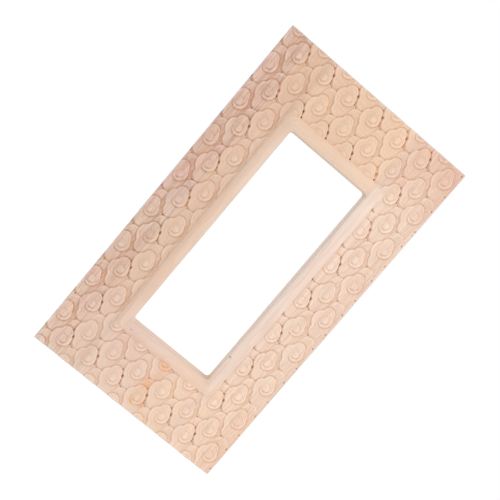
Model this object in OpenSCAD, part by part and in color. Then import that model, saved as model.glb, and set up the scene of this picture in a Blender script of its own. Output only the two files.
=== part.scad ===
// Wooden mirror frame with a carved cloud-scroll front, a smooth moulding round the opening,
// and hanging hardware behind.
// X runs across the frame, Z up its long side, and the front faces -Y.
// The wall that it hangs on is the plane y = 0.

/* [Frame] */
// Overall width
frame_w = 320; // [300:1:400]
// Overall height
frame_h = 567; // [470:1:700]
// Thickness from the back to the top of the carving
frame_depth = 32; // [26:0.5:39]
// Width of the left stile, seen from the front
left_stile_w = 91.5; // [84:0.5:112]
// Width of the right stile, seen from the front
right_stile_w = 90; // [84:0.5:112]
// Height of the top rail
top_rail_h = 110.5; // [90:0.5:135]
// Height of the bottom rail
bottom_rail_h = 108; // [90:0.5:135]
// Radius of the opening's corners
corner_r = 5; // [2:0.5:8]
// How deep each rail is let into the stiles
housing_depth = 3; // [2:0.5:5]

/* [Staves] */
// Width of the left stile's outer stave
left_outer_w = 39; // [30:1:48]
// Width of the right stile's outer stave
right_outer_w = 19.5; // [15:0.5:24]
// Width of the right stile's middle stave
right_middle_w = 42; // [32:1:44]

/* [Moulding and carving] */
// Width of the smooth moulding round the opening
moulding_w = 20; // [12:0.5:24]
// Height of the moulding's crown over the carving's ground
moulding_rise = 2.5; // [1:0.25:3]
// Height of the cloud bosses over the carving's ground
relief_h = 3.5; // [2:0.25:5]
// Distance between clouds in one row
cloud_pitch_x = 44.8; // [36:0.1:56]
// Distance between a row and the next row that stands in line with it
cloud_pitch_z = 64.5; // [60:0.5:80]
// Place of one boss from the frame's left edge
first_boss_x = 33.5; // [10:0.1:60]
// Place of the same boss below the frame's top edge
first_boss_z = 27.4; // [10:0.1:60]
// How far the in-between rows stand to the left of the others
between_dx = 23; // [15:0.1:30]
// How far the in-between rows stand below the others
between_dz = 35.6; // [25:0.1:45]
// Radius of a cloud's curl
cloud_disc_r = 10.5; // [7:0.5:12]

/* [Mirror rebate] */
// Width of the ledge that the mirror lies on
rebate_w = 8; // [6:0.5:12]
// Depth of the rebate, from the back face
rebate_depth = 6; // [5:0.5:10]

/* [Corner dowels] */
// Dowel diameter
dowel_d = 8; // [6:0.5:10]
// Dowel length
dowel_len = 40; // [32:1:44]
// Distance between the dowels of one corner
dowel_spacing = 30; // [20:1:36]
// Dowels in each corner
dowels_per_corner = 3; // [2:1:3]
// Chamfer on a dowel's ends
dowel_chamfer = 1; // [0.5:0.25:2]

/* [Turn buttons] */
// Width of a turn button
button_w = 10; // [8:0.5:14]
// Thickness of a turn button
button_t = 1.6; // [1:0.1:3]
// How far a button's nose reaches over the rebate
button_reach = 5; // [3:0.5:6]
// Distance of a button's screw from the rebate
button_pivot_gap = 12; // [10:0.5:18]
// Height of the side buttons above and below the opening's middle
side_button_z = 105; // [70:1:130]

/* [Hangers] */
// Distance between the two hangers' middles
hanger_spacing = 260; // [240:1:276]
// Height of the hanger rings' hinges above the frame's middle
hanger_z = 175; // [120:1:200]
// Width of a hanger plate
plate_w = 12; // [10:0.5:16]
// Thickness of a hanger plate
plate_t = 0.8; // [0.6:0.1:1.2]
// Length of a hanger plate below the hinge
plate_len = 42; // [38:1:50]
// Wire radius of a ring
wire_r = 1.25; // [0.8:0.05:1.5]
// Half the width of a ring, at the middle of its wire
ring_half_w = 9; // [7.5:0.5:12]
// Length of a ring's straight sides
ring_side = 7; // [5:0.5:9]
// Width of the knuckle that holds a ring
knuckle_w = 8; // [6:0.5:10]
// Wall of the knuckle
knuckle_wall = 0.8; // [0.6:0.1:1.2]

/* [Screws] */
// Shank radius of every screw
shank_r = 1.5; // [1.2:0.05:2]
// Length of a screw below its head
screw_len = 15; // [12:0.5:18]
// Radius of a screw's head
head_r = 3.1; // [2.8:0.1:4]
// Height of a screw's head
head_h = 1.8; // [1.4:0.1:2.4]

/* [Clearances] */
// Radial gap of glued dowels and of screws in wood
wood_gap = 0.05; // [0.02:0.01:0.1]
// Radial gap where a piece turns on a screw or in a knuckle
running_gap = 0.05; // [0.03:0.01:0.1]
// Gap between a moving piece and the face beside it
face_gap = 0.3; // [0.2:0.05:0.5]
// Extra depth of the dowel holes at each end
hole_relief = 1; // [0.5:0.25:2]

/* [Hidden] */
$fn = 64;
x_left = -frame_w / 2;
x_right = frame_w / 2;
z_top = frame_h / 2;
z_bottom = -frame_h / 2;
open_x0 = x_left + left_stile_w;
open_x1 = x_right - right_stile_w;
open_z0 = z_bottom + bottom_rail_h;
open_z1 = z_top - top_rail_h;
open_mid_x = (open_x0 + open_x1) / 2;
open_mid_z = (open_z0 + open_z1) / 2;
ground_y = relief_h - frame_depth;
rail_x0 = open_x0 - housing_depth;
rail_x1 = open_x1 + housing_depth;
glue_left = x_left + left_outer_w;
glue_right_outer = x_right - right_outer_w;
glue_right_inner = glue_right_outer - right_middle_w;
past = 1;
moulding_r = (pow(moulding_w / 2, 2) + pow(moulding_rise, 2)) / (2 * moulding_rise);
carving_root = 0.5;
curl_h = relief_h * 0.7;
// The rounded parts that lie under a cloud's curl: place beside and above the boss, radius, height
CLOUD_LOBES = [
    [-1.5, 9, 11, relief_h * 0.55],
    [-5, -2.5, 12, relief_h * 0.42],
    [1, -19, 10, relief_h * 0.28]
];
cloud_reach = 30;
dowel_y = -(frame_depth - relief_h - rebate_depth) / 2 - rebate_depth;
dowel_hole_len = dowel_len + 2 * hole_relief;
button_len = button_pivot_gap + button_reach;
button_y0 = face_gap;
button_head_y = button_y0 + button_t + face_gap;
hole_depth = screw_len + hole_relief;
knuckle_r = wire_r + running_gap + knuckle_wall;
ring_y = knuckle_r + face_gap;
ring_reach = ring_side + ring_half_w;
knuckle_slope = knuckle_r + plate_t + 1;
knuckle_mouth = [235, 262];
plate_screw_z = [ring_reach + wire_r + head_r + 3, plate_len - plate_w / 2];
wall_gap = ring_y + knuckle_r;
slot_w = head_r * 0.26;
slot_len = head_r * 1.3;

// Each turn button: its screw's place in X and Z, and the angle of its nose about +Y from +X.
pivot_out = rebate_w + button_pivot_gap;
BUTTONS = [
    [open_x0 - pivot_out, open_mid_z + side_button_z, 0],
    [open_x0 - pivot_out, open_mid_z - side_button_z, 0],
    [open_x1 + pivot_out, open_mid_z + side_button_z, 180],
    [open_x1 + pivot_out, open_mid_z - side_button_z, 180],
    [open_mid_x, open_z1 + pivot_out, 90],
    [open_mid_x, open_z0 - pivot_out, -90]
];
HANGERS_X = [-hanger_spacing / 2, hanger_spacing / 2];

// In every module the frame's back face is y = 0.
// Placing a piece moves it off the wall, to make room for the rings.

// A piece's place in front of the wall
module placed() {
    translate([0, -wall_gap, 0]) children();
}

// A box given by its two corners
module span_box(low, high) {
    translate(low) cube(high - low);
}

// A prism over an outline in X and Z, from y0 to y1
module xz_prism(points, y0, y1) {
    translate([0, y1, 0]) rotate([90, 0, 0]) linear_extrude(y1 - y0) polygon(points);
}

// A cylinder along Y, from y0 to y1
module y_cylinder(r, y0, y1) {
    translate([0, y1, 0]) rotate([90, 0, 0]) cylinder(r = r, h = y1 - y0);
}

// The whole thickness between two places in X and in Z, with room to spare in Y
module through(x0, x1, z0, z1) {
    span_box([x0, -frame_depth - past, z0], [x1, past, z1]);
}

// The opening, with its rounded corners
module opening() {
    through(open_x0 + corner_r, open_x1 - corner_r, open_z0, open_z1);
    through(open_x0, open_x1, open_z0 + corner_r, open_z1 - corner_r);
    for (x = [open_x0 + corner_r, open_x1 - corner_r], z = [open_z0 + corner_r, open_z1 - corner_r])
        translate([x, 0, z]) y_cylinder(corner_r, -frame_depth - past, past);
}

// The rebate that the mirror lies in
module rebate() {
    span_box([open_x0 - rebate_w, -rebate_depth, open_z0 - rebate_w],
             [open_x1 + rebate_w, past, open_z1 + rebate_w]);
}

// One side of the moulding: a low round crown of length len centred on the origin, running along Z
module crown(len) {
    intersection() {
        translate([0, ground_y - moulding_rise + moulding_r, -len / 2])
            cylinder(r = moulding_r, h = len, $fn = 180);
        span_box([-moulding_w / 2, ground_y - moulding_rise - past, -len / 2],
                 [moulding_w / 2, ground_y + carving_root, len / 2]);
    }
}

// An upright side's outline between its two mitres
module mitre_upright(x_in, x_out) {
    reach = abs(x_out - x_in);
    xz_prism([[x_in, open_z0], [x_out, open_z0 - reach], [x_out, open_z1 + reach], [x_in, open_z1]],
             -frame_depth - past, 0);
}

// A level side's outline between its two mitres
module mitre_level(z_in, z_out) {
    reach = abs(z_out - z_in);
    xz_prism([[open_x0, z_in], [open_x0 - reach, z_out], [open_x1 + reach, z_out], [open_x1, z_in]],
             -frame_depth - past, 0);
}

// The moulding, mitred at its four corners
module moulding() {
    tall = open_z1 - open_z0 + 2 * moulding_w;
    wide = open_x1 - open_x0 + 2 * moulding_w;
    half = moulding_w / 2;
    intersection() {
        translate([open_x0 - half, 0, open_mid_z]) crown(tall);
        mitre_upright(open_x0, open_x0 - moulding_w);
    }
    intersection() {
        translate([open_x1 + half, 0, open_mid_z]) crown(tall);
        mitre_upright(open_x1, open_x1 + moulding_w);
    }
    intersection() {
        translate([open_mid_x, 0, open_z1 + half]) rotate([0, 90, 0]) crown(wide);
        mitre_level(open_z1, open_z1 + moulding_w);
    }
    intersection() {
        translate([open_mid_x, 0, open_z0 - half]) rotate([0, 90, 0]) crown(wide);
        mitre_level(open_z0, open_z0 - moulding_w);
    }
}

// One cloud: lobes in steps, and on them the curl with its rim, groove and round boss
module cloud() {
    for (lobe = CLOUD_LOBES)
        translate([lobe[0], 0, lobe[1]]) y_cylinder(lobe[2], -lobe[3], carving_root);
    rotate([90, 0, 0]) rotate_extrude() polygon([
        [0, -carving_root], [cloud_disc_r, -carving_root], [cloud_disc_r, curl_h * 0.75],
        [cloud_disc_r * 0.92, curl_h * 0.93], [cloud_disc_r * 0.78, curl_h],
        [cloud_disc_r * 0.58, curl_h * 0.6], [cloud_disc_r * 0.5, curl_h * 0.45],
        [cloud_disc_r * 0.42, relief_h * 0.75], [cloud_disc_r * 0.26, relief_h * 0.95],
        [cloud_disc_r * 0.12, relief_h], [0, relief_h]
    ]);
}

// Places of the clouds that reach into a stretch of the front; none has its boss past the right edge
function cloud_places(x0, x1, z0, z1) = [
    for (row = [-1 : ceil(frame_h / cloud_pitch_z)],
         col = [-1 : ceil(frame_w / cloud_pitch_x)], between = [0, 1])
        let (x = x_left + first_boss_x + col * cloud_pitch_x - between * between_dx,
             z = z_top - first_boss_z - row * cloud_pitch_z - between * between_dz)
        if (x > x0 - cloud_reach && x < min(x1 + cloud_reach, x_right) &&
            z > z0 - cloud_reach && z < z1 + cloud_reach)
            [x, z]
];

// The clouds on a stretch of the front, cut off where the moulding begins
module clouds(x0, x1, z0, z1) {
    difference() {
        union() for (p = cloud_places(x0, x1, z0, z1)) translate([p[0], ground_y, p[1]]) cloud();
        span_box([open_x0 - moulding_w, -frame_depth - past, open_z0 - moulding_w],
                 [open_x1 + moulding_w, ground_y + past, open_z1 + moulding_w]);
    }
}

// The carved front's material over a stretch, before it is cut to a piece's outline
module carved_stock(x0, x1, z0, z1) {
    span_box([x0 - past, ground_y, z0 - past], [x1 + past, 0, z1 + past]);
    clouds(x0, x1, z0, z1);
    moulding();
}

// The outlines of the rails, which are let into the stiles
module top_rail_outline() through(rail_x0, rail_x1, open_z1 - corner_r, z_top + past);
module bottom_rail_outline() through(rail_x0, rail_x1, z_bottom - past, open_z0 + corner_r);

// One corner's dowels, along X, centred on the joint
module corner_dowels(x, z_mid, r, len, chamfer) {
    for (i = [0 : dowels_per_corner - 1])
        translate([x, dowel_y, z_mid + (i - (dowels_per_corner - 1) / 2) * dowel_spacing])
            rotate([0, 90, 0]) rotate_extrude() polygon([
                [0, -len / 2], [r - chamfer, -len / 2], [r, chamfer - len / 2],
                [r, len / 2 - chamfer], [r - chamfer, len / 2], [0, len / 2]
            ]);
}

top_rail_mid = (open_z1 + z_top) / 2;
bottom_rail_mid = (open_z0 + z_bottom) / 2;

module dowel_holes() {
    for (x = [rail_x0, rail_x1], z = [top_rail_mid, bottom_rail_mid])
        corner_dowels(x, z, dowel_d / 2 + wood_gap, dowel_hole_len, dowel_chamfer);
}

// Pilot holes for every screw
module screw_holes() {
    for (b = BUTTONS) translate([b[0], 0, b[1]]) y_cylinder(shank_r + wood_gap, -hole_depth, past);
    for (x = HANGERS_X, down = plate_screw_z)
        translate([x, 0, hanger_z - down]) y_cylinder(shank_r + wood_gap, -hole_depth, past);
}

// A stave of a stile between two places in X
module stave(x0, x1) {
    difference() {
        intersection() {
            carved_stock(x0, x1, z_bottom, z_top);
            through(x0, x1, z_bottom, z_top);
        }
        top_rail_outline();
        bottom_rail_outline();
        opening();
        rebate();
        dowel_holes();
        screw_holes();
    }
}

module left_outer_stave() color([0.86, 0.71, 0.63]) stave(x_left, glue_left);
module left_inner_stave() color([0.88, 0.74, 0.65]) stave(glue_left, open_x0);
module right_inner_stave() color([0.94, 0.84, 0.77]) stave(open_x1, glue_right_inner);
module right_middle_stave() color([0.93, 0.81, 0.72]) stave(glue_right_inner, glue_right_outer);
module right_outer_stave() color([0.92, 0.80, 0.72]) stave(glue_right_outer, x_right);

module top_rail() {
    color([0.93, 0.79, 0.69]) difference() {
        intersection() {
            carved_stock(rail_x0, rail_x1, open_z1 - corner_r, z_top);
            through(rail_x0, rail_x1, open_z1 - corner_r, z_top);
        }
        opening();
        rebate();
        dowel_holes();
        screw_holes();
    }
}

module bottom_rail() {
    color([0.91, 0.79, 0.71]) difference() {
        intersection() {
            carved_stock(rail_x0, rail_x1, z_bottom, open_z0 + corner_r);
            through(rail_x0, rail_x1, z_bottom, open_z0 + corner_r);
        }
        opening();
        rebate();
        dowel_holes();
        screw_holes();
    }
}

module dowel_group(x, z) {
    color([0.85, 0.72, 0.55]) corner_dowels(x, z, dowel_d / 2, dowel_len, dowel_chamfer);
}

// A turn button whose nose reaches over the rebate; b is its row of BUTTONS
module turn_button(b) {
    nose = button_len - button_w / 2;
    color([0.72, 0.72, 0.70]) translate([b[0], 0, b[1]]) rotate([0, b[2], 0]) difference() {
        union() {
            y_cylinder(button_w / 2, button_y0, button_y0 + button_t);
            span_box([0, button_y0, -button_w / 2], [nose, button_y0 + button_t, button_w / 2]);
            translate([nose, 0, 0]) y_cylinder(button_w / 2, button_y0, button_y0 + button_t);
        }
        y_cylinder(shank_r + running_gap, 0, button_y0 + button_t + past);
    }
}

// A screw driven in along -Y, with the underside of its head at y = seat
module screw(seat) {
    tip = shank_r * 2;
    translate([0, seat, 0]) rotate([-90, 0, 0]) difference() {
        rotate_extrude() polygon([
            [0, -screw_len], [shank_r, tip - screw_len], [shank_r, 0], [head_r, 0],
            [head_r, head_h * 0.4], [head_r * 0.86, head_h * 0.78], [head_r * 0.55, head_h], [0, head_h]
        ]);
        for (turn = [0, 90]) rotate([0, 0, turn])
            span_box([-slot_len / 2, -slot_w / 2, head_h * 0.45], [slot_len / 2, slot_w / 2, head_h + past]);
    }
}

module turn_button_screws() {
    color([0.75, 0.73, 0.66]) for (b = BUTTONS) translate([b[0], 0, b[1]]) screw(button_head_y);
}

module hanger_screws() {
    color([0.75, 0.73, 0.66]) for (x = HANGERS_X, down = plate_screw_z)
        translate([x, 0, hanger_z - down]) screw(plate_t);
}

// A corner of the gap that is left where the knuckle's curl ends
function mouth_corner(turn) = knuckle_r * 1.15 * [cos(turn), sin(turn)];

// A hanger plate and its knuckle, curled round the ring's bar
module hanger_plate(x) {
    end_z = -(plate_len - plate_w / 2);
    color([0.74, 0.74, 0.72]) translate([x, 0, hanger_z]) difference() {
        union() {
            span_box([-plate_w / 2, 0, end_z], [plate_w / 2, plate_t, -knuckle_slope]);
            translate([0, 0, end_z]) y_cylinder(plate_w / 2, 0, plate_t);
            translate([-knuckle_w / 2, 0, 0]) rotate([90, 0, 90]) linear_extrude(knuckle_w) polygon([
                [0, -knuckle_slope], [plate_t, -knuckle_slope], [plate_t + face_gap, 0], [face_gap, 0]
            ]);
            translate([-knuckle_w / 2, ring_y, 0]) rotate([0, 90, 0]) cylinder(r = knuckle_r, h = knuckle_w);
        }
        translate([-plate_w, ring_y, 0]) rotate([0, 90, 0])
            cylinder(r = wire_r + running_gap, h = 2 * plate_w);
        translate([-plate_w, ring_y, 0]) rotate([90, 0, 90]) linear_extrude(2 * plate_w) polygon([
            [0, 0], mouth_corner(knuckle_mouth[0]), mouth_corner(knuckle_mouth[1])
        ]);
        for (down = plate_screw_z)
            translate([0, 0, -down]) y_cylinder(shank_r + running_gap, -past, plate_t + past);
    }
}

// A D-shaped ring hanging from its straight bar, which is the hinge
module hanger_ring(x) {
    color([0.78, 0.78, 0.76]) translate([x, ring_y, hanger_z]) {
        translate([-ring_half_w, 0, 0]) rotate([0, 90, 0]) cylinder(r = wire_r, h = 2 * ring_half_w);
        for (side = [-ring_half_w, ring_half_w]) translate([side, 0, 0]) {
            sphere(r = wire_r);
            translate([0, 0, -ring_side]) cylinder(r = wire_r, h = ring_side);
        }
        translate([0, 0, -ring_side]) rotate([90, 0, 0]) rotate_extrude(angle = -180)
            translate([ring_half_w, 0]) circle(r = wire_r);
    }
}

placed() left_outer_stave();
placed() left_inner_stave();
placed() right_inner_stave();
placed() right_middle_stave();
placed() right_outer_stave();
placed() top_rail();
placed() bottom_rail();
placed() dowel_group(rail_x0, top_rail_mid);  // top_left_dowels
placed() dowel_group(rail_x1, top_rail_mid);  // top_right_dowels
placed() dowel_group(rail_x0, bottom_rail_mid);  // bottom_left_dowels
placed() dowel_group(rail_x1, bottom_rail_mid);  // bottom_right_dowels
placed() turn_button(BUTTONS[0]);  // turn_button_left_upper
placed() turn_button(BUTTONS[1]);  // turn_button_left_lower
placed() turn_button(BUTTONS[2]);  // turn_button_right_upper
placed() turn_button(BUTTONS[3]);  // turn_button_right_lower
placed() turn_button(BUTTONS[4]);  // turn_button_top
placed() turn_button(BUTTONS[5]);  // turn_button_bottom
placed() turn_button_screws();
placed() hanger_plate(HANGERS_X[0]);  // left_hanger_plate
placed() hanger_plate(HANGERS_X[1]);  // right_hanger_plate
placed() hanger_ring(HANGERS_X[0]);  // left_hanger_ring
placed() hanger_ring(HANGERS_X[1]);  // right_hanger_ring
placed() hanger_screws();
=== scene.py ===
import bpy
import bmesh
import math
import numpy as np
from mathutils import Matrix, Vector


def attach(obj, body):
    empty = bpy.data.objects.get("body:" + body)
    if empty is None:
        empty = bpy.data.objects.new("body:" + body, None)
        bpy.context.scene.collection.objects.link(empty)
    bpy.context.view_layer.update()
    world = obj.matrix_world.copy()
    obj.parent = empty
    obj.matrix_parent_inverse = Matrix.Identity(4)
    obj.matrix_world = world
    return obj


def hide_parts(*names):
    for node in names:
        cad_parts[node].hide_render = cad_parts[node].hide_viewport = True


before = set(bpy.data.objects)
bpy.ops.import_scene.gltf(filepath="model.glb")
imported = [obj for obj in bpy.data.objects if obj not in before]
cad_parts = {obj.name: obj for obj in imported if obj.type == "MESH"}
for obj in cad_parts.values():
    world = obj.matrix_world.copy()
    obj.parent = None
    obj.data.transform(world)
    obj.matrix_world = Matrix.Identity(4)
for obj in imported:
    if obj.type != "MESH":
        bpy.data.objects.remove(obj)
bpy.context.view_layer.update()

# Sizes of the frame, in millimetres, as the CAD has them. x runs from the left edge, and d down from the
# top edge.
MM = 0.001
FRAME_W = 320.0
FRAME_H = 567.0
DEPTH = 32.0
WALL_GAP = 4.5
GROUND = 28.5
RELIEF_MAX = DEPTH - GROUND
OPEN_X = (91.5, 230.0)
OPEN_D = (110.5, 459.0)
CORNER_R = 5.0
MOULDING_W = 20.0
HOUSING = 3.0
GLUE_LEFT = 39.0
GLUE_RIGHT = (258.5, 300.5)

# The clouds of one set are this far apart, the first has its boss at FIRST_BOSS, and the second set is
# shifted by BETWEEN
PITCH_X = 44.8
PITCH_D = 64.5
FIRST_BOSS = (33.1, 27.0)
BETWEEN = (-23.0, 35.6)

# The CAD pieces are kept up to this height over their backs, and the carved fronts reach down to it
CUT_DEPTH = 24.0

# Outlines of one carved cloud about its boss, x to the right and y down, in millimetres
CLOUD = [(1.8, -19.4), (-1.7, -20.2), (-5.4, -19.4), (-8.4, -17.2), (-10.2, -14.2), (-10.9, -11.2),
         (-13.4, -9.4), (-16.0, -6.6), (-17.5, -2.6), (-17.7, 1.6), (-17.1, 5.6), (-15.4, 10.2),
         (-13.0, 13.8), (-10.8, 15.9), (-10.4, 19.2), (-9.3, 23.2), (-6.8, 26.6), (-3.2, 28.7),
         (1.0, 29.3), (4.6, 27.8), (7.6, 23.6), (10.0, 18.0), (12.0, 12.0), (12.8, 6.6), (12.6, 2.0),
         (11.8, -1.8), (10.9, -4.6), (9.6, -7.8), (8.0, -10.9), (6.5, -14.3), (4.6, -17.3)]
CURL = [(-8.6, -17.4), (-5.4, -19.4), (-1.7, -20.2), (1.8, -19.4), (4.6, -17.3), (6.5, -14.3),
        (8.0, -10.9), (9.6, -7.8), (10.9, -4.6), (11.2, -1.2), (10.4, 2.6), (8.3, 6.3), (4.7, 8.9),
        (0.2, 9.9), (-4.0, 8.4), (-6.4, 5.6), (-7.4, 2.0)]
CURL_BACK = [(-7.4, 2.0), (-8.0, -5.0), (-8.8, -12.0), (-8.6, -17.4)]
GROOVE = [(-4.4, 3.0), (-2.6, 4.5), (0.0, 5.0), (2.6, 4.3), (4.9, 2.6), (6.7, 0.0), (7.9, -3.2),
          (7.4, -6.6), (6.0, -10.2), (4.0, -13.6), (1.0, -16.2), (-2.6, -17.2), (-5.8, -16.6)]
TUFT = [(-9.2, -15.0), (-8.8, -21.0), (-8.2, -25.8), (-6.8, -30.0), (-3.6, -32.6), (1.0, -33.8),
        (6.4, -33.4), (11.5, -28.5), (12.5, -18.0), (6.0, -10.0), (-5.0, -11.0)]
BOSS_R = 5.6
BOSS_POWER = 2.3
RING_PITCH = 2.5

# How far the clouds reach from their bosses: left and right, up and down
CLOUD_REACH_X = 24
CLOUD_REACH_D = (37, 34)

# How clouds differ: shift across, shift down, turn in radians, size and height
CLOUD_SPREAD = (0.25, 0.25, 0.012, 0.010, 0.05)

# Pits where the gouge's cuts meet. Each has its place from the boss, its half length and half width, its
# turn in degrees and its depth. A depth below 0 raises the place.
FOOT_PIT = (-7.4, 29.4, 2.5, 1.1, 28, 0.35)
ODD_FOOT_PIT = (-4.2, 30.8, 1.4, 0.8, 20, 1.1)
EVEN_FOOT_PITS = [(-4.6, 30.9, 1.4, 0.75, 20, 0.9), (-8.6, 29.0, 2.2, 1.6, 28, 0.45)]
SIDE_PITS = [(9.3, -11.8, 1.75, 0.95, 70, 0.85), (3.8, -20.4, 1.2, 0.8, 55, 0.7),
             (11.9, -3.2, 1.6, 0.6, 70, 0.6), (6.8, -16.4, 2.0, 1.2, 60, -0.55),
             (10.9, -7.4, 1.5, 0.9, 70, -0.40)]
EDGE_PITS = [(14.7, -22.6, 1.9, 1.1, 70, 1.2), (15.3, 14.3, 1.9, 1.1, 110, 1.2),
             (15.6, 20.5, 1.2, 0.8, 90, 0.7)]
TRIANGLE_PITS = [(-7.9, 29.6, 1.7, 4.2, 0, 1.05), (-4.6, 30.4, 2.9, 1.2, 10, 0.5),
                 (-4.2, 30.8, 1.4, 0.8, 20, -0.95)]
DOT_PIT = (12.2, -3.9, 1.2, 1.0, 0, 1.3)
PIT_REACH = 14

# Clouds right of LAST_COLUMN have edge pits. Those near TRIANGLE_COLUMN are cut off by the right moulding,
# and those near DOT_ROW by the top moulding.
LAST_COLUMN = 300.0
TRIANGLE_COLUMN = 257.0
DOT_ROW = 91.5
NEAR = 5

# Half widths of the soft edges with which a cloud and its tuft are laid over what is behind them
CLOUD_EDGE = 0.7
TUFT_EDGE = 0.6

# The ground between clouds, and the bank up to the moulding: its height, and how far from the opening it
# starts and is full
BARE_GROUND = 0.05
BANK_HEIGHT = 0.8
BANK = (25, 20)

# Start of the random draws, the knife's facets, and how far sharp edges are worn
SEED = 7
FACET_SIZE = 0.8
FACET_HEIGHT = 0.035
SOFTNESS = 0.22

# How far from the opening the moulding starts to give way to the carving and has given way
SEAM = (MOULDING_W - 2.4, MOULDING_W + 0.8)
# How deep and how wide the outer edges are eased
EASE_DEPTH = 0.7
EASE_WIDTH = 1.3

# How far round a place its height is compared, with weights, to tell how sunken it is; this sets the painted
# shade in hollows and the painted highlight on crests
SUNKEN_SCALES = ((0.9, 0.32), (2.2, 0.38), (5.0, 0.34))
# How far from the outer edge and from the opening the painted bluish shade starts to fade and is gone
RIM_REACH = (0.3, 4.5)
LIP_REACH = (1.0, 7.5)

# Cells to a millimetre and half width of the map of one cloud, and cells and margin of the map of the front
MOTIF_RES = 4
MOTIF_HALF = 38
FIELD_RES = 3
MARGIN = 8


def smoothstep(x, a, b):
    """0 at a and beyond, 1 at b and beyond; b may be less than a."""
    t = np.clip((x - a) / (b - a), 0, 1)
    return t * t * (3 - 2 * t)


def hump(d, centre, width):
    """A smooth ridge, 1 at the centre."""
    return np.exp(-((d - centre) / width) ** 2)


def rounded(d, width):
    """A quarter round from 0 at the edge to 1 at the width."""
    t = np.clip(d / width, 0, 1)
    return np.sqrt(1 - (1 - t) ** 2)


def ripple(d, crest):
    """Fine rings that run along an edge, one of them at the crest."""
    return np.cos(2 * math.pi * (d - crest) / RING_PITCH)


def spline(points, closed, steps=6):
    """A smooth curve through the points."""
    p = np.array(points, float)
    m = len(p)
    out = []
    for i in range(m if closed else m - 1):
        a = p[(i - 1) % m] if closed else p[max(i - 1, 0)]
        b, c = p[i], p[(i + 1) % m]
        e = p[(i + 2) % m] if closed else p[min(i + 2, m - 1)]
        for t in np.arange(steps) / steps:
            out.append(0.5 * (2 * b + (c - a) * t + (2 * a - 5 * b + 4 * c - e) * t ** 2
                              + (3 * b - a - 3 * c + e) * t ** 3))
    if not closed:
        out.append(p[-1])
    return np.array(out)


def distance(x, y, line, closed=False):
    """How far each point lies from the line, and how far along it the nearest place is, from 0 to 1."""
    ends = np.roll(line, -1, 0) if closed else line[1:]
    starts = line if closed else line[:-1]
    best = np.full(x.shape, np.inf)
    along = np.zeros(x.shape)
    for i, (p, q) in enumerate(zip(starts, ends)):
        v = q - p
        t = np.clip(((x - p[0]) * v[0] + (y - p[1]) * v[1]) / (v @ v), 0, 1)
        e = (x - p[0] - t * v[0]) ** 2 + (y - p[1] - t * v[1]) ** 2
        near = e < best
        best = np.where(near, e, best)
        along = np.where(near, (i + t) / len(starts), along)
    return np.sqrt(best), along


def inside(x, y, poly):
    """Whether each point is inside the closed outline."""
    hit = np.zeros(x.shape, bool)
    px, py = poly[-1]
    for qx, qy in poly:
        hit ^= ((qy > y) != (py > y)) & (x < (px - qx) * (y - qy) / (py - qy + 1e-12) + qx)
        px, py = qx, qy
    return hit


def body_height(x, y, d_out):
    """The cloud's body slopes down to the right from a rolled rim on its left side."""
    slope = 1.60 - 0.046 * (x + 16) - 0.25 * smoothstep(y, 19, 30)
    left = smoothstep(-x, -2, 8)
    body = slope * (0.56 + 0.44 * rounded(d_out, 1.7))
    body = body + (0.19 * hump(d_out, 1.5, 0.8) - 0.06 * hump(d_out, 4.0, 1.4)) * left
    body = body + 0.11 * ripple(d_out, 1.5) * smoothstep(d_out, 2.2, 3.4)
    return np.maximum(body, 0.15)


def head_height(x, y, d_curl, along):
    """The head stands over the body like a shell, and its rim and groove curl in under the boss."""
    low = smoothstep(y, -6, 6)
    face = 1.62 + 0.020 * (x + 7)
    top = face * (0.66 + 0.34 * rounded(d_curl, 1.4))
    # a rolled rim, broader at the bottom, and a valley inside it
    rim = hump(d_curl, 1.4 + 0.7 * low, 0.7 + 0.3 * low) * smoothstep(along, 0.02, 0.12)
    top = top + (0.14 + 0.08 * low) * rim
    top = top - 0.20 * hump(d_curl, 2.8, 0.8) * (1 - low)
    # fine rings, fainter at the bottom
    top = top + 0.19 * ripple(d_curl, 1.4) * smoothstep(d_curl, 2.8, 4.2) * (1 - 0.6 * low)
    # the groove is deepest where it starts, under the boss
    d_groove, groove_along = distance(x, y, spline(GROOVE, False))
    deep = 0.24 + 0.34 * smoothstep(groove_along, 0.34, 0.16)
    ends = smoothstep(groove_along, 0.98, 0.80) * smoothstep(groove_along, 0, 0.08)
    top = top - deep * hump(d_groove, 0, 0.85) * ends
    # the boss is a little wider than it is high, and has a ditch round it
    bx, by = (x + 0.9) / 1.10, (y + 1.0) / 1.05
    r = (np.abs(bx) ** BOSS_POWER + np.abs(by) ** BOSS_POWER) ** (1 / BOSS_POWER)
    top = top - (0.28 + 0.10 * smoothstep(by, 0, 5)) * hump(r, 6.2, 0.9)
    return top + (0.60 + 0.04 * by) * np.clip(1 - (r / BOSS_R) ** 2.8, 0, 1) ** 0.8


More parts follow.
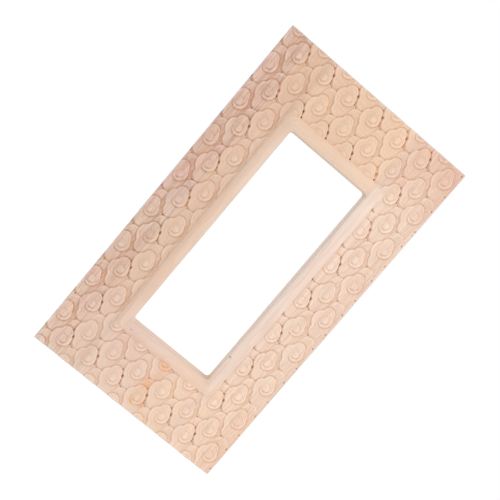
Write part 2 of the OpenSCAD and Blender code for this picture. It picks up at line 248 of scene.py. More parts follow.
def carve_motif():
    """Maps of one cloud: how far inside its outline each point is, its height, the same for the tuft behind
    it, and the depth of the cut along its left side."""
    axis = np.arange(-MOTIF_HALF * MOTIF_RES, MOTIF_HALF * MOTIF_RES + 1) / MOTIF_RES
    x, y = np.meshgrid(axis, axis)
    outline = spline(CLOUD, True)
    curl = spline(CURL, False)
    back = spline(CURL_BACK, False)
    tuft = spline(TUFT, True)
    in_out = inside(x, y, outline)
    in_head = inside(x, y, np.concatenate([curl, back[1:]]))
    d_out = distance(x, y, outline, True)[0]
    d_tuft = distance(x, y, tuft, True)[0]
    d_back = distance(x, y, back)[0]
    d_curl, along = distance(x, y, curl)
    body = body_height(x, y, d_out)
    # a cut under the head's lower rim
    body = body - 0.40 * hump(d_curl, 0.9, 0.9) * smoothstep(along, 0.50, 0.62) * ~in_head
    top = head_height(x, y, d_curl, along)
    lift = np.where(in_head, smoothstep(d_back, 0, 8), 0)
    body = body + lift * (np.maximum(top, body) - body)
    tuft_h = 1.15 - 0.062 * (y + 33) - 0.035 * np.maximum(x, 0)
    tuft_h = np.maximum(tuft_h, 0.2) * (0.6 + 0.4 * rounded(d_tuft, 1.2)) + 0.14 * hump(d_tuft, 1.2, 0.7)
    neck = smoothstep(y, -14, -18) * smoothstep(x, 5, 1)
    tuft_h = tuft_h - 0.35 * hump(d_out, 0.9, 0.9) * ~in_out * neck
    cut = hump(d_out, 0.5, 0.75) * ~in_out * smoothstep(-x, -4, 3) * (0.25 + 0.27 * smoothstep(y, 12, 22))
    sign = np.where(in_out, 1, -1)
    sign_tuft = np.where(inside(x, y, tuft), 1, -1)
    return sign * d_out, body, sign_tuft * d_tuft, tuft_h, cut


def sample(grid, u, v):
    """The grid's value at fractional columns u and rows v."""
    rows, cols = grid.shape
    u = np.clip(u, 0, cols - 1.001)
    v = np.clip(v, 0, rows - 1.001)
    i, j = v.astype(int), u.astype(int)
    a, b = v - i, u - j
    return ((grid[i, j] * (1 - b) + grid[i, j + 1] * b) * (1 - a)
            + (grid[i + 1, j] * (1 - b) + grid[i + 1, j + 1] * b) * a)


def blur(grid, sigma):
    """A Gaussian blur with sigma in cells."""
    pad = int(3 * sigma) + 2
    g = np.pad(grid, pad, mode="edge")
    fy = np.fft.fftfreq(g.shape[0])[:, None]
    fx = np.fft.rfftfreq(g.shape[1])[None, :]
    k = np.exp(-2 * (math.pi * sigma) ** 2 * (fx ** 2 + fy ** 2))
    g = np.fft.irfft2(np.fft.rfft2(g) * k, s=g.shape)
    return g[pad:-pad, pad:-pad]


def moulding_height(q):
    """Height of the moulding over the carving's ground, at distance q from the opening."""
    crown, crest = 3.1, 9.0
    fall_out, fall_in, fall_lip = 1.8, 1.1, 0.9
    rest = MOULDING_W - crest
    outer = crown - fall_out * (np.clip(q - crest, 0, rest) / rest) ** 1.9
    inner = crown - fall_in * (np.clip(crest - q, 0, crest) / crest) ** 2
    return np.where(q > crest, outer, inner) - fall_lip * (1 - rounded(q, 2.0))


def edge_distance(x, d):
    """How far each place lies from the frame's outer edge."""
    return np.maximum(np.minimum(np.minimum(x, FRAME_W - x), np.minimum(d, FRAME_H - d)), 0)


def opening_distance(x, d):
    """How far each place lies from the opening. The line round it grows squarer further out, and the top is
    wider."""
    mid = ((OPEN_X[0] + OPEN_X[1]) / 2, (OPEN_D[0] + OPEN_D[1]) / 2)
    half = ((OPEN_X[1] - OPEN_X[0]) / 2 - CORNER_R, (OPEN_D[1] - OPEN_D[0]) / 2 - CORNER_R)
    qx = np.maximum(np.abs(x - mid[0]) - half[0], 0)
    qd = np.maximum(np.abs(d - mid[1]) - half[1], 0)
    # a circle has power 2
    power = 2 + 3.5 * smoothstep(np.maximum(qx, qd), CORNER_R, CORNER_R + 6)
    q = (qx ** power + qd ** power) ** (1 / power) - CORNER_R
    return np.maximum(q, 0) / (1 + 0.10 * smoothstep(OPEN_D[0] - d, 0, 8))


def finished(x, d, carving):
    """The carving's height with the smooth moulding round the opening and the eased outer edges."""
    q = opening_distance(x, d)
    w = smoothstep(q, *SEAM)
    height = moulding_height(q) * (1 - w) + carving * w
    height = height - EASE_DEPTH * (1 - rounded(edge_distance(x, d), EASE_WIDTH))
    return np.minimum(height, RELIEF_MAX)


def cloud_places():
    """The clouds' bosses in the order they are laid, and whether each is in the first of the two sets."""
    clouds = []
    for row in range(-1, 10):
        for col in range(-1, 9):
            x, d = FIRST_BOSS[0] + col * PITCH_X, FIRST_BOSS[1] + row * PITCH_D
            clouds.append((x, d, True))
            clouds.append((x + BETWEEN[0], d + BETWEEN[1], False))
    return sorted(c for c in clouds if c[0] < FRAME_W)


def window(x, d, left, right, top, bottom):
    """The rows and columns of the map between these places, or None where it has none there."""
    j0, j1 = np.searchsorted(x[0], (left, right))
    i0, i1 = np.searchsorted(d[:, 0], (top, bottom))
    if j1 - j0 < 2 or i1 - i0 < 2:
        return None
    return slice(i0, i1), slice(j0, j1)


def lay_clouds(height, x, d, clouds, rng):
    """Lays the clouds on the map from left to right, each with its tuft over its left neighbours."""
    s_out, body, s_tuft, tuft, cut = carve_motif()
    up, down = CLOUD_REACH_D
    for cx, cd, odd in clouds:
        jx, jd, turn, size, lift = rng.normal(size=5) * CLOUD_SPREAD
        near = window(x, d, cx - CLOUD_REACH_X, cx + CLOUD_REACH_X, cd - up, cd + down)
        if near is None:
            continue
        u, v = x[near] - cx - jx, d[near] - cd - jd
        c, s = math.cos(turn) * (1 + size), math.sin(turn)
        p = (u * c - v * s + MOTIF_HALF) * MOTIF_RES
        q = (u * s + v * c + MOTIF_HALF) * MOTIF_RES
        part = height[near]
        w = smoothstep(sample(s_tuft, p, q), -TUFT_EDGE, TUFT_EDGE)
        part = part * (1 - w) + sample(tuft, p, q) * w
        w = smoothstep(sample(s_out, p, q), -CLOUD_EDGE, CLOUD_EDGE)
        part = (part - sample(cut, p, q)) * (1 - w) + (sample(body, p, q) + lift) * w
        height[near] = part


def pits_of(cx, cd, odd):
    """The pits round one cloud."""
    if not odd:
        return [FOOT_PIT] + EVEN_FOOT_PITS
    pits = [FOOT_PIT, ODD_FOOT_PIT] + (SIDE_PITS if cx < LAST_COLUMN else EDGE_PITS)
    if abs(cx - TRIANGLE_COLUMN) < NEAR and OPEN_D[0] < cd + FOOT_PIT[1] < OPEN_D[1] + MOULDING_W:
        pits += TRIANGLE_PITS
    if cx < TRIANGLE_COLUMN and abs(cd - DOT_ROW) < NEAR:
        pits.append(DOT_PIT)
    return pits


def sink_pits(height, x, d, clouds):
    """Sinks every cloud's pits into the map."""
    for cx, cd, odd in clouds:
        for px, pd, long, wide, turn, deep in pits_of(cx, cd, odd):
            mx, md = cx + px, cd + pd
            near = window(x, d, mx - PIT_REACH, mx + PIT_REACH, md - PIT_REACH, md + PIT_REACH)
            if near is None:
                continue
            u, v = x[near] - mx, d[near] - md
            c, s = math.cos(math.radians(turn)), math.sin(math.radians(turn))
            e = ((u * c + v * s) / long) ** 2 + ((-u * s + v * c) / wide) ** 2
            height[near] -= deep * np.exp(-e ** 2)


def carve_front():
    """Height of the carving over its ground, and a map of how sunken each place of the finished front is."""
    x_axis = np.arange(-MARGIN * FIELD_RES, (FRAME_W + MARGIN) * FIELD_RES + 1) / FIELD_RES
    d_axis = np.arange(-MARGIN * FIELD_RES, (FRAME_H + MARGIN) * FIELD_RES + 1) / FIELD_RES
    x, d = np.meshgrid(x_axis, d_axis)
    height = np.full(x.shape, BARE_GROUND)
    clouds = cloud_places()
    rng = np.random.default_rng(SEED)
    lay_clouds(height, x, d, clouds, rng)
    height = np.maximum(height, BANK_HEIGHT * smoothstep(opening_distance(x, d), *BANK))
    sink_pits(height, x, d, clouds)
    facets = blur(rng.normal(size=height.shape), FACET_SIZE * FIELD_RES)
    height = blur(height, SOFTNESS * FIELD_RES) + FACET_HEIGHT * facets / facets.std()
    whole = finished(x, d, height)
    sunken = np.zeros(x.shape)
    for size, weight in SUNKEN_SCALES:
        sunken += weight * (blur(whole, size * FIELD_RES) - whole)
    return height, sunken


CARVING, SUNKEN = carve_front()


def front_at(grid, x, d):
    """The value of a map of the front at these places."""
    return sample(grid, (x + MARGIN) * FIELD_RES, (d + MARGIN) * FIELD_RES)


def to_row(x, d, height):
    """Places on the front in the row frame, in metres."""
    return np.stack([(x - FRAME_W / 2) * MM, -(WALL_GAP + GROUND + height) * MM, (FRAME_H / 2 - d) * MM], -1)


def grid_faces(rows, cols):
    """The faces of a grid of points."""
    i, j = np.meshgrid(np.arange(rows - 1), np.arange(cols - 1), indexing="ij")
    a = (i * cols + j).ravel()
    return np.stack([a, a + cols, a + cols + 1, a + 1], 1)


def carved_sheet(x, d):
    """Points, faces and painted light of one sheet of the front with walls down to the cut. x and d are
    grids.

    The painted light is how sunken a place is, for painted shade in hollows and a painted highlight on
    crests, and how near the outer edge and how near the opening, for painted bluish shade there.
    """
    h = finished(x, d, front_at(CARVING, x, d))
    rim = 1 - smoothstep(edge_distance(x, d), *RIM_REACH)
    lip = 1 - smoothstep(opening_distance(x, d), *LIP_REACH)
    painted_light = np.stack([front_at(SUNKEN, x, d), rim, lip], -1)
    points = [to_row(x, d, h).reshape(-1, 3)]
    faces = [grid_faces(*x.shape)]
    painted_lights = [painted_light.reshape(-1, 3)]
    count = x.size
    # the four walls, with whether their faces are turned over
    row_sides = [((0, slice(None)), False), ((-1, slice(None)), True)]
    column_sides = [((slice(None), 0), True), ((slice(None), -1), False)]
    for side, flip in row_sides + column_sides:
        sx, sd, sh = x[side], d[side], h[side]
        n = len(sx)
        top = to_row(sx, sd, sh)
        low = to_row(sx, sd, np.full(n, CUT_DEPTH - GROUND))
        a = count + np.arange(n - 1)
        quad = np.stack([a, a + 1, a + 1 + n, a + n], 1)
        faces.append(quad[:, ::-1] if flip else quad)
        points += [top, low]
        painted_lights += [painted_light[side] * (0, 1, 1), painted_light[side] * (0, 0, 1)]
        count += 2 * n
    return np.concatenate(points), np.concatenate(faces), np.concatenate(painted_lights)


def store_painted_light(obj, painted_light):
    """Keeps the masks of the painted light on the mesh, where the wood's material reads them."""
    for k, word in enumerate(("sunken", "rim", "lip")):
        attr = obj.data.attributes.new(word, "FLOAT", "POINT")
        attr.data.foreach_set("value", painted_light[:, k].astype(np.float32))


# Cell size of each carved front, in millimetres
STEP = {"left_outer_stave": 0.52, "left_inner_stave": 0.60, "right_inner_stave": 0.50,
        "right_middle_stave": 0.54, "right_outer_stave": 0.45, "top_rail": 0.47, "bottom_rail": 0.47}


def span(a, b, step):
    """Evenly spaced places from a to b, about a step apart."""
    return np.linspace(a, b, max(2, int(round((b - a) / step)) + 1))


def sheets_of(name):
    """The structured sheets that make up a wooden piece's front."""
    step = STEP[name]
    rail_x = (OPEN_X[0] - HOUSING, OPEN_X[1] + HOUSING)
    rail_d = (OPEN_D[0] + CORNER_R, OPEN_D[1] - CORNER_R)
    plain = {
        "left_outer_stave": (0, GLUE_LEFT), "left_inner_stave": (GLUE_LEFT, rail_x[0]),
        "right_inner_stave": (rail_x[1], GLUE_RIGHT[0]), "right_middle_stave": GLUE_RIGHT,
        "right_outer_stave": (GLUE_RIGHT[1], FRAME_W),
    }
    beside_opening = {"left_inner_stave": (rail_x[0], OPEN_X[0]),
                      "right_inner_stave": (OPEN_X[1], rail_x[1])}
    if name in plain:
        out = [np.meshgrid(span(*plain[name], step), span(0, FRAME_H, step))]
        if name in beside_opening:
            out.append(np.meshgrid(span(*beside_opening[name], step), span(*rail_d, step)))
        return out
    # a rail's edge follows the opening's round corners
    arc = np.radians(np.linspace(0, 90, 13))
    corner = CORNER_R * (1 - np.cos(arc))
    columns = np.concatenate([span(rail_x[0], OPEN_X[0], step)[:-1], OPEN_X[0] + corner[:-1],
                              span(OPEN_X[0] + CORNER_R, OPEN_X[1] - CORNER_R, step)[:-1],
                              (OPEN_X[1] - corner)[::-1][:-1], span(OPEN_X[1], rail_x[1], step)])
    inset = np.minimum(np.clip(columns - OPEN_X[0], 0, CORNER_R), np.clip(OPEN_X[1] - columns, 0, CORNER_R))
    bow = np.sqrt(np.maximum(CORNER_R ** 2 - (CORNER_R - inset) ** 2, 0))
    if name == "top_rail":
        edge = rail_d[0] - bow
        t = np.linspace(0, 1, int(edge.max() / step))[:, None]
        d = t * edge[None, :]
    else:
        edge = rail_d[1] + bow
        t = np.linspace(0, 1, int((FRAME_H - edge.min()) / step))[:, None]
        d = edge[None, :] + t * (FRAME_H - edge[None, :])
    return [(np.broadcast_to(columns, d.shape), d)]


def new_object(name, data):
    """An object in the scene."""
    obj = bpy.data.objects.new(name, data)
    bpy.context.collection.objects.link(obj)
    return obj


def new_mesh(name, points, faces):
    """A mesh of plain lists of points and faces."""
    mesh = bpy.data.meshes.new(name)
    mesh.from_pydata(points, [], faces)
    mesh.update()
    return mesh


def back_part(node):
    """A copy of the CAD piece without its front, down to the cut."""
    bm = bmesh.new()
    bm.from_mesh(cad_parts[node].data)
    geom = bm.verts[:] + bm.edges[:] + bm.faces[:]
    bmesh.ops.bisect_plane(bm, geom=geom, plane_co=(0, -(WALL_GAP + CUT_DEPTH) * MM, 0), plane_no=(0, 1, 0),
                           clear_inner=True, dist=1e-7)
    bmesh.ops.remove_doubles(bm, verts=bm.verts[:], dist=1e-6)
    sharp = math.radians(30)
    for f in bm.faces:
        f.smooth = True
    for e in bm.edges:
        e.smooth = len(e.link_faces) == 2 and e.calc_face_angle(0) < sharp
    mesh = bpy.data.meshes.new(node + "_back")
    bm.to_mesh(mesh)
    bm.free()
    return new_object(node + "_back", mesh)


def carved_piece(node):
    """A wooden piece: its carved front joined to the back of its CAD piece."""
    parts = []
    for x, d in sheets_of(node):
        points, faces, painted_light = carved_sheet(x, d)
        obj = new_object(node + "_carved", new_mesh(node + "_carved", points.tolist(), faces.tolist()))
        obj.data.shade_smooth()
        store_painted_light(obj, painted_light)
        parts.append(obj)
    back = back_part(node)
    spots = np.zeros(len(back.data.vertices) * 3)
    back.data.vertices.foreach_get("co", spots)
    spots = spots.reshape(-1, 3) / MM
    # of the back part, only the wall of the opening has the lip's painted bluish shade
    on_wall = opening_distance(spots[:, 0] + FRAME_W / 2, FRAME_H / 2 - spots[:, 2]) < 0.2
    painted_light = np.zeros(spots.shape)
    painted_light[:, 2] = on_wall
    store_painted_light(back, painted_light)
    parts.append(back)
    with bpy.context.temp_override(active_object=parts[0], selected_editable_objects=parts, object=parts[0],
                                   selected_objects=parts):
        bpy.ops.object.join()
    return parts[0]


def node_tree(name):
    """A new material and its empty node tree."""
    mat = bpy.data.materials.new(name)
    mat.use_nodes = True
    tree = mat.node_tree
    tree.nodes.clear()
    return mat, tree


def add(tree, kind, **values):
    """A new node. Values whose names start with in_ go to its inputs, and the others are properties."""
    n = tree.nodes.new(kind)
    for k, v in values.items():
        if k.startswith("in_"):
            n.inputs[k[3:].replace("_", " ")].default_value = v
        else:
            setattr(n, k, v)
    return n


def feed(tree, value, socket):
    """Sets the socket to a number or a vector, or links an output to it."""
    if isinstance(value, (int, float, tuple)):
        socket.default_value = value
    else:
        tree.links.new(value, socket)


def math_node(tree, operation, *values):
    """The output of a math node."""
    n = add(tree, "ShaderNodeMath", operation=operation)
    for socket, value in zip(n.inputs, values):
        feed(tree, value, socket)
    return n.outputs[0]


def ranged(tree, source, low, high, to_low=0.0, to_high=1.0):
    """The source mapped from one range to another and kept inside it."""
    n = add(tree, "ShaderNodeMapRange", in_From_Min=low, in_From_Max=high, in_To_Min=to_low,
            in_To_Max=to_high)
    tree.links.new(source, n.inputs["Value"])
    return n.outputs[0]


def surface(tree, shader):
    """Makes the shader the material's surface."""
    out = add(tree, "ShaderNodeOutputMaterial")
    tree.links.new(shader, out.inputs["Surface"])


# Tints that multiply the wood's colour. The crevice and pit tints are painted shade in hollows and pits,
# the crest tint is a painted highlight, and the rim and lip tints are painted bluish shade along the edges
PINK_PATCH = (0.97, 0.88, 0.88)
PALE_PATCH = (1.00, 1.04, 1.08)
CREVICE_PAINTED_SHADE = (0.84, 0.71, 0.60)
PIT = (0.24, 0.15, 0.10)
CREST_PAINTED_HIGHLIGHT = (1.07, 1.09, 1.11)
RIM_PAINTED_SHADE = (0.92, 1.02, 1.13)
LIP_PAINTED_SHADE = (0.92, 0.965, 1.00)
PALER_FOOT = (1.08, 1.15, 1.15)
ORANGE = (1.00, 0.82, 0.62)
RUSTY = (0.97, 0.85, 0.77)
DARK_SPOT = (0.55, 0.46, 0.42)

# How often the wood's noises vary in a metre, twice across the grain and once along it. PALE_PLACE is where
# the pale patches read theirs, so they don't follow the pink ones.
WOBBLE_SCALE = (13, 13, 4)
FIBRE_SCALE = (820, 820, 22)
STREAK_SCALE = (230, 230, 7)
PINK_SCALE = (15, 15, 6)
PALE_SCALE = (22, 22, 9)
PALE_PLACE = (3.1, 1.7, 0.4)

# How far the growth rings wobble, in metres, and how much they change along the grain
WOBBLE = 0.012
RING_TAPER = 0.004

# How dark the wood is over one growth ring, from one late line to the next
RING_START = 0.30
RING_STOPS = ((0.14, 0.0), (0.50, 0.08), (0.80, 0.70), (0.93, 1.0))

# Marks begin at the first of these places on the y axis, in metres, and are whole at the second, so the
# back has none
SKIN = (-0.022, -0.027)

# Depths of the fine grain in the wood and of the rubbed lines in the metal, in metres
GRAIN_DEPTH = 0.00025
RUB_DEPTH = 0.00004


def wood_material(name, pale, dark, pith, ring_mm=1.0, along="Z", rings=0.4, streaks=0.5, fibres=0.5,
                  seed=0.0, patches=0.5, crevices=1.0, bands=(), marks=()):
    """Bare planed softwood. pith is the place of the tree's middle across the grain, in metres.

    A band is an axis, the places in metres where it starts and is full, and its tint. A mark is its x and d,
    half width and half height, tint, lean in degrees and weight. crevices is how strong the painted shade in
    the hollows is.
    """
    mat, tree = node_tree(name)
    link = tree.links.new

    def mapped(source, scale, location=(0, 0, 0), rotation=(0, 0, 0)):
        n = add(tree, "ShaderNodeMapping", in_Scale=scale, in_Location=location, in_Rotation=rotation)
        link(source, n.inputs["Vector"])
        return n.outputs["Vector"]

    def noise(source, detail=2.0, roughness=0.5):
        n = add(tree, "ShaderNodeTexNoise", in_Scale=1.0, in_Detail=detail, in_Roughness=roughness)
        link(source, n.inputs["Vector"])
        return n

    def vector(operation, *values, output="Vector"):
        n = add(tree, "ShaderNodeVectorMath", operation=operation)
        for socket, value in zip(n.inputs, values):
            feed(tree, value, socket)
        return n.outputs[output]

    def tinted(source, color, factor):
        n = add(tree, "ShaderNodeMix", data_type="RGBA", blend_type="MULTIPLY", clamp_factor=True)
        n.inputs["B"].default_value = (*color, 1)
        link(factor, n.inputs["Factor"])
        link(source, n.inputs["A"])
        return n.outputs["Result"]

    place = add(tree, "ShaderNodeTexCoord").outputs["Object"]
    grain = mapped(place, (1, 1, 1), rotation=(0, math.radians(90), 0) if along == "X" else (0, 0, 0))
    shifted = mapped(grain, (1, 1, 1), location=(seed, seed * 0.6, seed * 0.3))
    # growth rings about the pith, slightly wavy and almost straight along the grain
    wobble = vector("SUBTRACT", noise(mapped(shifted, WOBBLE_SCALE), 3.0).outputs["Color"], (0.5, 0.5, 0.5))
    moved = vector("MULTIPLY_ADD", wobble, (WOBBLE, WOBBLE, WOBBLE), grain)
    across = vector("MULTIPLY", moved, (1, 1, RING_TAPER))
    away = vector("DISTANCE", across, (*pith, 0), output="Value")
    late = add(tree, "ShaderNodeValToRGB")
    ramp = late.color_ramp
    ramp.interpolation = "EASE"
    ramp.elements[0].color = (RING_START, RING_START, RING_START, 1)
    ramp.elements.remove(ramp.elements[1])
    for position, value in RING_STOPS:
        ramp.elements.new(position).color = (value, value, value, 1)
    link(math_node(tree, "FRACT", math_node(tree, "MULTIPLY", away, 1 / ring_mm / MM)), late.inputs[0])
    late = late.outputs["Color"]
    fibre = noise(mapped(shifted, FIBRE_SCALE), 3.0, 0.6).outputs["Fac"]
    streak = noise(mapped(shifted, STREAK_SCALE), 3.0, 0.55).outputs["Fac"]
    patch = noise(mapped(shifted, PINK_SCALE)).outputs["Fac"]
    pale_patch = noise(mapped(shifted, PALE_SCALE, location=PALE_PLACE)).outputs["Fac"]
    uneven = math_node(tree, "SUBTRACT", streak, 0.5)
    tone = math_node(tree, "MULTIPLY", late, rings)
    tone = math_node(tree, "MULTIPLY_ADD", uneven, 2 * streaks, tone)
    tone = math_node(tree, "MULTIPLY_ADD", math_node(tree, "SUBTRACT", fibre, 0.5), 2 * fibres, tone)
    base = add(tree, "ShaderNodeMix", data_type="RGBA", clamp_factor=True)
    base.inputs["A"].default_value = (*pale, 1)
    base.inputs["B"].default_value = (*dark, 1)
    link(math_node(tree, "ADD", tone, 0.22), base.inputs["Factor"])
    color = base.outputs["Result"]
    color = tinted(color, PINK_PATCH, ranged(tree, patch, 0.45, 0.66, 0, patches))
    color = tinted(color, PALE_PATCH, ranged(tree, pale_patch, 0.50, 0.70, 0, patches))
    axes = add(tree, "ShaderNodeSeparateXYZ")
    link(place, axes.inputs[0])
    for axis, start, full, tint in bands:
        color = tinted(color, tint, ranged(tree, axes.outputs[axis], start, full))
    skin = ranged(tree, axes.outputs["Y"], *SKIN)
    for x, d, wide, high, tint, lean, weight in marks:
        spot = mapped(place, (1, 0, 1), location=((FRAME_W / 2 - x) * MM, 0, (d - FRAME_H / 2) * MM))
        spot = mapped(spot, (1, 1, 1), rotation=(0, math.radians(lean), 0))
        spot = mapped(spot, (1 / wide / MM, 1, 1 / high / MM))
        far = math_node(tree, "MULTIPLY_ADD", uneven, 1.6, vector("LENGTH", spot, output="Value"))
        shown = ranged(tree, far, 1.35, 0.3, 0, weight)
        color = tinted(color, tint, math_node(tree, "MULTIPLY", shown, skin))
    # painted shade in the hollows, near-black painted shade in the pits and a painted highlight on the
    # crests, all from how sunken each place is
    sunken = add(tree, "ShaderNodeAttribute", attribute_name="sunken").outputs["Fac"]
    color = tinted(color, CREVICE_PAINTED_SHADE, ranged(tree, sunken, 0.02, 0.80 / crevices))
    color = tinted(color, PIT, ranged(tree, sunken, 0.60, 1.35))
    color = tinted(color, CREST_PAINTED_HIGHLIGHT, ranged(tree, sunken, -0.06, -0.34))
    # painted bluish shade along the outer edges and round the opening
    for word, tint in (("rim", RIM_PAINTED_SHADE), ("lip", LIP_PAINTED_SHADE)):
        color = tinted(color, tint, add(tree, "ShaderNodeAttribute", attribute_name=word).outputs["Fac"])
    bump = add(tree, "ShaderNodeBump", in_Strength=0.35, in_Distance=GRAIN_DEPTH)
    link(math_node(tree, "MULTIPLY_ADD", fibre, 0.8, late), bump.inputs["Height"])
    shader = add(tree, "ShaderNodeBsdfPrincipled", in_Specular_IOR_Level=0.25)
    link(ranged(tree, streak, 0.2, 0.8, 0.62, 0.82), shader.inputs["Roughness"])
    link(color, shader.inputs["Base Color"])
    link(bump.outputs["Normal"], shader.inputs["Normal"])
    surface(tree, shader.outputs[0])
    return mat


WOODS = {
    "left_outer_stave": dict(
        pale=(0.753, 0.551, 0.441), dark=(0.485, 0.308, 0.229), pith=(-0.140, 0.13), ring_mm=1.0, rings=0.24,
        streaks=0.4, fibres=1.0, patches=1.0, crevices=2.1, bands=(("Z", -0.08, -0.20, PALER_FOOT),),
        marks=((29.5, 445, 1.0, 1.0, DARK_SPOT, 0, 0.9),)),
    "left_inner_stave": dict(
        pale=(0.77, 0.554, 0.42), dark=(0.605, 0.402, 0.298), pith=(-0.100, 0.12), ring_mm=1.2, rings=0.15,
        streaks=0.25, fibres=0.6, patches=0.4, crevices=1.1,
        bands=(("Z", 0.15, 0.22, (0.99, 0.96, 0.92)), ("Z", -0.10, -0.20, (1.03, 1.08, 1.12)),
               # painted shade from the crease outside the left moulding on, and a painted highlight rising
               # across the moulding toward the opening
               ("X", -0.0945, -0.0905, (0.955, 0.955, 0.955)),
               ("X", -0.088, -0.071, (1.125, 1.165, 1.195)))),
    "right_inner_stave": dict(
        pale=(0.845, 0.688, 0.58), dark=(0.74, 0.565, 0.465), pith=(0.060, 0.14), ring_mm=1.6, rings=0.35,
        streaks=0.6, fibres=0.7, patches=0.4,
        bands=(("Z", 0.17, 0.22, (0.94, 0.83, 0.77)), ("Z", -0.15, -0.19, (1.01, 0.93, 0.87)),
               # the second band here is painted light on the wall of the opening
               ("X", 0.088, 0.093, (1.06, 1.03, 0.99)), ("X", 0.0706, 0.0701, (1.13, 1.12, 1.12))),
        marks=((232.6, 411.0, 1.7, 1.7, DARK_SPOT, 0, 1.0),)),
    "right_middle_stave": dict(
        pale=(0.87, 0.675, 0.545), dark=(0.745, 0.53, 0.405), pith=(0.140, 0.13), ring_mm=1.1, rings=0.45,
        streaks=0.5, fibres=0.9, patches=0.35, crevices=1.1,
        bands=(("Z", 0.17, 0.27, (0.92, 0.83, 0.80)), ("Z", -0.12, -0.17, (1.02, 0.99, 0.96)))),
    "right_outer_stave": dict(
        pale=(0.855, 0.66, 0.53), dark=(0.72, 0.505, 0.385), pith=(0.190, 0.13), ring_mm=1.0, rings=0.55,
        streaks=0.6, fibres=1.0, patches=0.35, crevices=1.1,
        bands=(("Z", 0.17, 0.27, (0.93, 0.82, 0.80)), ("Z", -0.14, -0.18, (1.01, 0.96, 0.92)))),
    "top_rail": dict(
        pale=(0.81, 0.58, 0.42), dark=(0.70, 0.47, 0.325), pith=(0.31, 0.15), ring_mm=1.6, along="X",
        rings=0.2, streaks=0.25, fibres=0.5, patches=0.2,
        bands=(("X", 0.0, 0.08, (1.075, 1.07, 1.08)), ("X", -0.02, -0.07, (0.98, 0.98, 0.985)),
               ("Z", 0.194, 0.186, (1.01, 1.055, 1.115)), ("X", 0.0655, 0.0680, (0.95, 0.955, 0.985)))),
    "bottom_rail": dict(
        pale=(0.84, 0.645, 0.52), dark=(0.74, 0.525, 0.405), pith=(-0.16, 0.14), ring_mm=1.5, along="X",
        rings=0.2, streaks=0.25, fibres=0.5, patches=0.3,
        bands=(("X", -0.01, 0.04, (1.03, 1.00, 0.95)), ("Z", -0.200, -0.190, (0.975, 0.955, 0.955)),
               ("X", -0.02, -0.06, (0.975, 0.975, 0.975))),
        marks=((110, 498, 75, 60, (0.965, 0.935, 0.945), 0, 0.8),
               (170, 482, 10, 7, ORANGE, 0, 1.0), (172, 498, 7, 13, RUSTY, 0, 0.8),
               (166, 518, 7, 11, ORANGE, 0, 0.9), (168, 535, 11, 13, ORANGE, 0, 0.35),
               (164, 551, 5, 6, ORANGE, 30, 0.9), (180, 546, 6, 11, RUSTY, -25, 1.0),
               (172, 537, 0.6, 15, (0.70, 0.72, 0.72), 0, 0.7), (99, 470, 1.2, 1.0, DARK_SPOT, 0, 0.8))),
}
# How far apart the pieces lie in the noises, so no two have the same figure
SEED_STEP = 0.37
for k, (wood_name, spec) in enumerate(WOODS.items()):
    piece = carved_piece(wood_name)
    piece.name = wood_name + "_wood"
    piece.data.name = piece.name
    piece.data.materials.clear()
    piece.data.materials.append(wood_material(wood_name + "_softwood", seed=SEED_STEP * k, **spec))
    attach(piece, "frame")
    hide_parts(wood_name)


def metal_material(name, color, roughness, scratch):
    """Plated sheet or wire: metal with fine rubbed lines and duller patches."""
    mat, tree = node_tree(name)
    link = tree.links.new
    place = add(tree, "ShaderNodeTexCoord").outputs["Object"]
    stretch = add(tree, "ShaderNodeMapping", in_Scale=(900, 500, 120))
    link(place, stretch.inputs["Vector"])
    lines = add(tree, "ShaderNodeTexNoise", in_Scale=1.0, in_Detail=3.0)
    link(stretch.outputs["Vector"], lines.inputs["Vector"])
    spots = add(tree, "ShaderNodeTexNoise", in_Scale=260.0, in_Detail=4.0, in_Roughness=0.6)
    link(place, spots.inputs["Vector"])
    tint = add(tree, "ShaderNodeMix", data_type="RGBA", clamp_factor=True)
    tint.inputs["A"].default_value = (*color, 1)
    tint.inputs["B"].default_value = (*[0.72 * v for v in color], 1)
    link(spots.outputs["Fac"], tint.inputs["Factor"])
    rough = ranged(tree, lines.outputs["Fac"], 0, 1, roughness - 0.10, roughness + 0.15)
    bump = add(tree, "ShaderNodeBump", in_Strength=scratch, in_Distance=RUB_DEPTH)
    link(lines.outputs["Fac"], bump.inputs["Height"])
    shader = add(tree, "ShaderNodeBsdfPrincipled", in_Metallic=1.0)
    link(tint.outputs["Result"], shader.inputs["Base Color"])
    link(rough, shader.inputs["Roughness"])
    link(bump.outputs["Normal"], shader.inputs["Normal"])
    surface(tree, shader.outputs[0])
    return mat


BEECH = dict(pale=(0.72, 0.50, 0.33), dark=(0.56, 0.36, 0.22), pith=(0.0, 0.03), ring_mm=0.8, along="X",
             rings=0.4, streaks=0.4, fibres=0.6, seed=4.4)
# A node takes the first finish whose word is in its name
FINISHES = {
    "screws": metal_material("screw_yellow_zinc", (0.68, 0.60, 0.42), 0.34, 0.3),
    "dowels": wood_material("dowel_beech", **BEECH),
    "button": metal_material("button_zinc_plate", (0.66, 0.66, 0.64), 0.38, 0.4),
    "plate": metal_material("hanger_zinc_plate", (0.70, 0.69, 0.66), 0.32, 0.3),
    "ring": metal_material("ring_nickel_wire", (0.74, 0.72, 0.68), 0.22, 0.2),
}
for node, cad_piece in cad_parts.items():
    if node in WOODS:
        continue
    finish = next(FINISHES[word] for word in FINISHES if word in node)
    cad_piece.data.materials.clear()
    cad_piece.data.materials.append(finish)

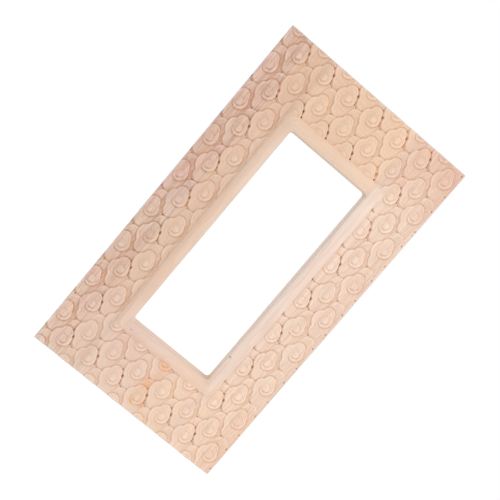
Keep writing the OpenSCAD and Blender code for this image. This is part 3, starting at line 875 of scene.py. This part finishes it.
# Camera at the photograph's angle: its axes in the row frame and its place, in metres
RIGHT = Vector((0.76398, -0.02491, 0.64476))
UP = Vector((-0.63814, 0.11870, 0.76072))
BACK = Vector((-0.09548, -0.99261, 0.07480))
EYE = Vector((-0.12033, -1.23411, 0.09886))
camera_data = bpy.data.cameras.new("camera")
camera_data.sensor_width = 36.0
camera_data.lens = 61.709
camera_data.clip_end = 20.0
camera = new_object("camera", camera_data)
camera.matrix_world = Matrix((*zip(RIGHT, UP, BACK, EYE), (0, 0, 0, 1)))
bpy.context.scene.camera = camera


def seen_directly(tree):
    """1 for what the camera sees, also in a reflection or through glass, and 0 for light on the object."""
    path = add(tree, "ShaderNodeLightPath").outputs
    camera_or_glossy = math_node(tree, "MAXIMUM", path["Is Camera Ray"], path["Is Glossy Ray"])
    return math_node(tree, "MAXIMUM", camera_or_glossy, path["Is Transmission Ray"])


def mixed_shader(tree, factor, first, second):
    """The first shader where the factor is 0 and the second where it is 1."""
    n = add(tree, "ShaderNodeMixShader")
    for socket, source in zip(n.inputs, (factor, first, second)):
        tree.links.new(source, socket)
    return n.outputs[0]


# A pale floor that keeps the object's shadow. Its glow is only for the camera and doesn't light the object.
FLOOR_Z = -0.55
FLOOR_HALF = 4.0
FLOOR_GLOW = 0.30
corners = [(-FLOOR_HALF, -FLOOR_HALF, FLOOR_Z), (FLOOR_HALF, -FLOOR_HALF, FLOOR_Z),
           (FLOOR_HALF, FLOOR_HALF, FLOOR_Z), (-FLOOR_HALF, FLOOR_HALF, FLOOR_Z)]
floor = new_object("floor", new_mesh("floor", corners, [(0, 1, 2, 3)]))
floor_white, floor_tree = node_tree("floor_white")
matte = add(floor_tree, "ShaderNodeBsdfDiffuse", in_Color=(0.8, 0.8, 0.8, 1))
glow = add(floor_tree, "ShaderNodeEmission", in_Strength=FLOOR_GLOW)
lit = add(floor_tree, "ShaderNodeAddShader")
floor_tree.links.new(matte.outputs[0], lit.inputs[0])
floor_tree.links.new(glow.outputs[0], lit.inputs[1])
surface(floor_tree, mixed_shader(floor_tree, seen_directly(floor_tree), matte.outputs[0], lit.outputs[0]))
floor.data.materials.append(floor_white)

# Soft light from all sides, stronger from the upper right in front and from behind, and a white background
LIGHT_FROM = (0.78, -0.45, 0.43)
LIGHT_LEVEL = 0.665
LIGHT_SLOPE = 0.58
BEHIND_SLOPE = 0.70
world = bpy.data.worlds.new("studio")
bpy.context.scene.world = world
world.use_nodes = True
sky = world.node_tree
sky.nodes.clear()
direction = add(sky, "ShaderNodeTexCoord").outputs["Generated"]
toward = add(sky, "ShaderNodeVectorMath", operation="DOT_PRODUCT")
toward.inputs[1].default_value = LIGHT_FROM
sky.links.new(direction, toward.inputs[0])
level = math_node(sky, "MULTIPLY_ADD", toward.outputs["Value"], LIGHT_SLOPE, LIGHT_LEVEL)
parts_of = add(sky, "ShaderNodeSeparateXYZ")
sky.links.new(direction, parts_of.inputs[0])
behind = math_node(sky, "MAXIMUM", parts_of.outputs["Y"], 0.0)
ambient = add(sky, "ShaderNodeBackground", in_Color=(1.0, 1.0, 1.0, 1))
sky.links.new(math_node(sky, "MULTIPLY_ADD", behind, BEHIND_SLOPE, level), ambient.inputs["Strength"])
white = add(sky, "ShaderNodeBackground", in_Color=(1.0, 1.0, 1.0, 1), in_Strength=1.0)
backdrop = add(sky, "ShaderNodeOutputWorld")
seen = mixed_shader(sky, seen_directly(sky), ambient.outputs[0], white.outputs[0])
sky.links.new(seen, backdrop.inputs["Surface"])

# Square lamps that point at the middle of the frame: place, width and power
LAMPS = {"key": ((1.45, -1.5, 1.2), 1.3, 11.3), "side": ((-2.0, -0.25, 0.1), 1.2, 7.0)}
for lamp_name, (lamp_place, width, power) in LAMPS.items():
    lamp_data = bpy.data.lights.new(lamp_name, "AREA")
    lamp_data.shape = "SQUARE"
    lamp_data.size = width
    lamp_data.energy = power
    lamp = new_object(lamp_name, lamp_data)
    lamp.location = lamp_place
    lamp.rotation_euler = (-Vector(lamp_place)).to_track_quat("-Z", "Y").to_euler()

bpy.context.scene.view_settings.view_transform = "Standard"
bpy.context.view_layer.update()
